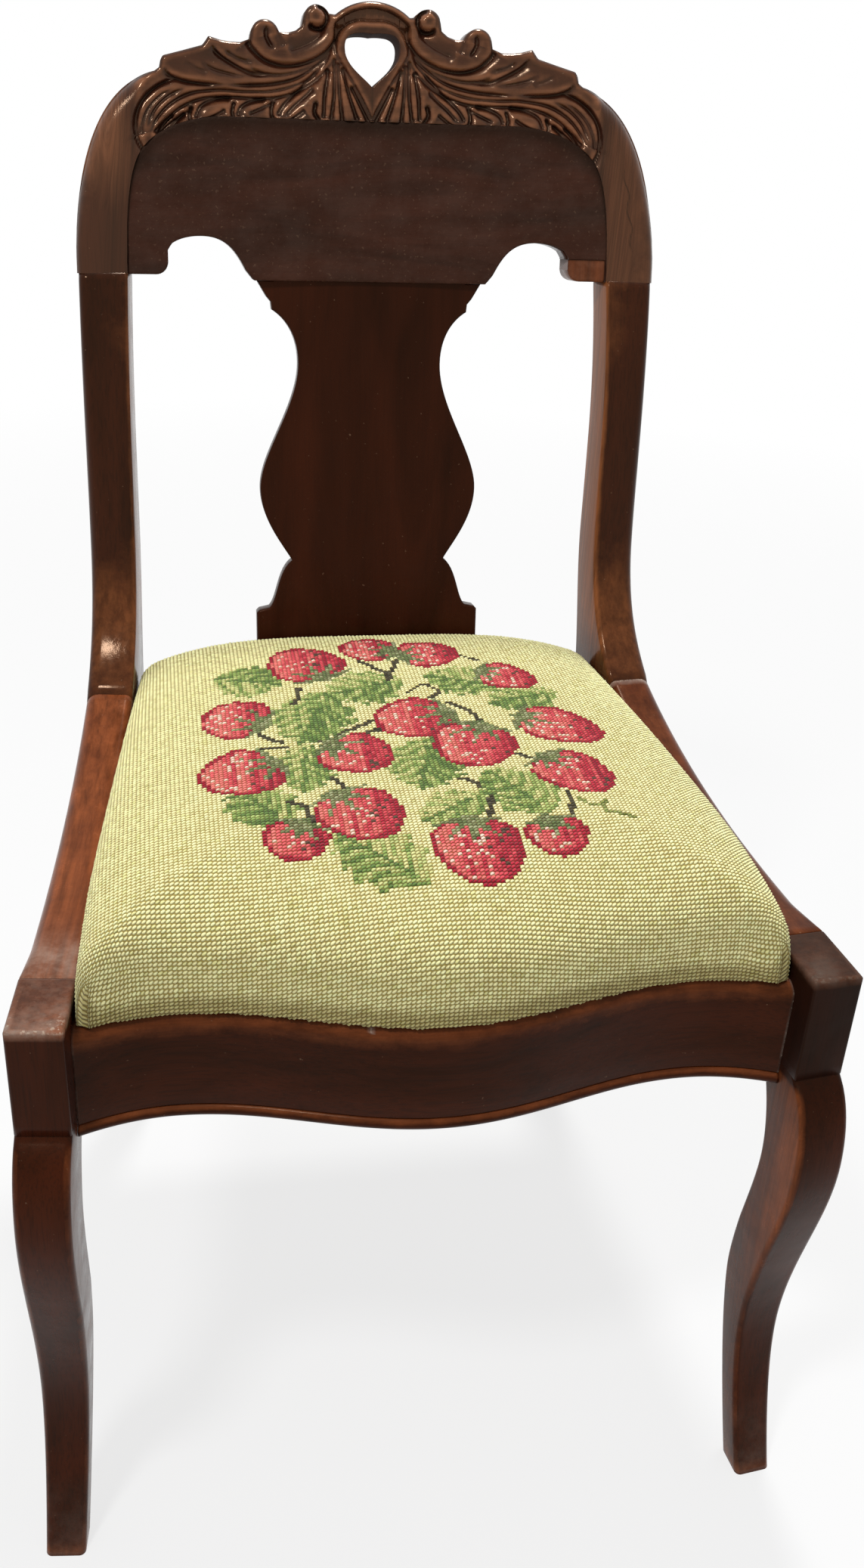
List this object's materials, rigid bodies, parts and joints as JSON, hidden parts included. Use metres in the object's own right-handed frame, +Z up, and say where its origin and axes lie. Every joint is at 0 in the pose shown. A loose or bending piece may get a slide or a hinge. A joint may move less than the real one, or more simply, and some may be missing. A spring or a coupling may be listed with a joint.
{
  "type": "upholstered dining chair",
  "caption": "Mahogany side chair with sabre legs, vase splat, carved crest rail with a heart hand hole, and a lift-out slip seat covered in needlepoint.",
  "frame": {"origin": "on the floor, under the middle of the chair's bounding box", "axes": "+X to the chair's right-hand side as seen from the front, +Y to the back, +Z up"},
  "size_m": [0.4862, 0.4836, 0.8698],
  "materials": {
    "mahogany": "polished dark mahogany",
    "worn_mahogany": "polished mahogany, worn lighter",
    "panel_veneer": "old satin varnish on veneer",
    "beech": "bare sawn wood",
    "needlepoint": "wool tent stitch",
    "jute": "woven jute",
    "horsehair": "matted hair",
    "steel": "blued steel"
  },
  "bodies": {
    "frame": {"left_front_leg": "mahogany", "right_front_leg": "mahogany", "left_side_rail": "worn_mahogany", "right_side_rail": "worn_mahogany", "left_rear_post": "mahogany", "right_rear_post": "mahogany", "front_rail": "mahogany", "front_rail_bead": "worn_mahogany", "rear_rail": "mahogany", "splat": "mahogany", "crest_rail": "mahogany", "crest_panel": "panel_veneer", "right_ear_splice": "worn_mahogany", "left_seat_ledge": "beech", "right_seat_ledge": "beech", "front_left_corner_block": "beech", "front_right_corner_block": "beech", "rear_left_corner_block": "beech", "rear_right_corner_block": "beech", "corner_block_screws": "steel", "leg_dowels": "beech", "post_dowels": "beech", "front_rail_dowels": "beech", "rear_rail_dowels": "beech", "crest_dowels": "beech"},
    "seat": {"seat_frame_front": "beech", "seat_frame_back": "beech", "seat_frame_left": "beech", "seat_frame_right": "beech", "seat_frame_dowels": "beech", "long_webbing": "jute", "cross_webbing": "jute", "webbing_tacks": "steel", "hessian": "jute", "stuffing": "horsehair", "seat_cover": "needlepoint", "cover_tacks": "steel"}
  },
  "joints": [
    {"name": "seat_lift", "type": "slide", "parent": "frame", "child": "seat", "axis": [0, 0, 1], "range_m": [0, 0.12]}
  ]
}
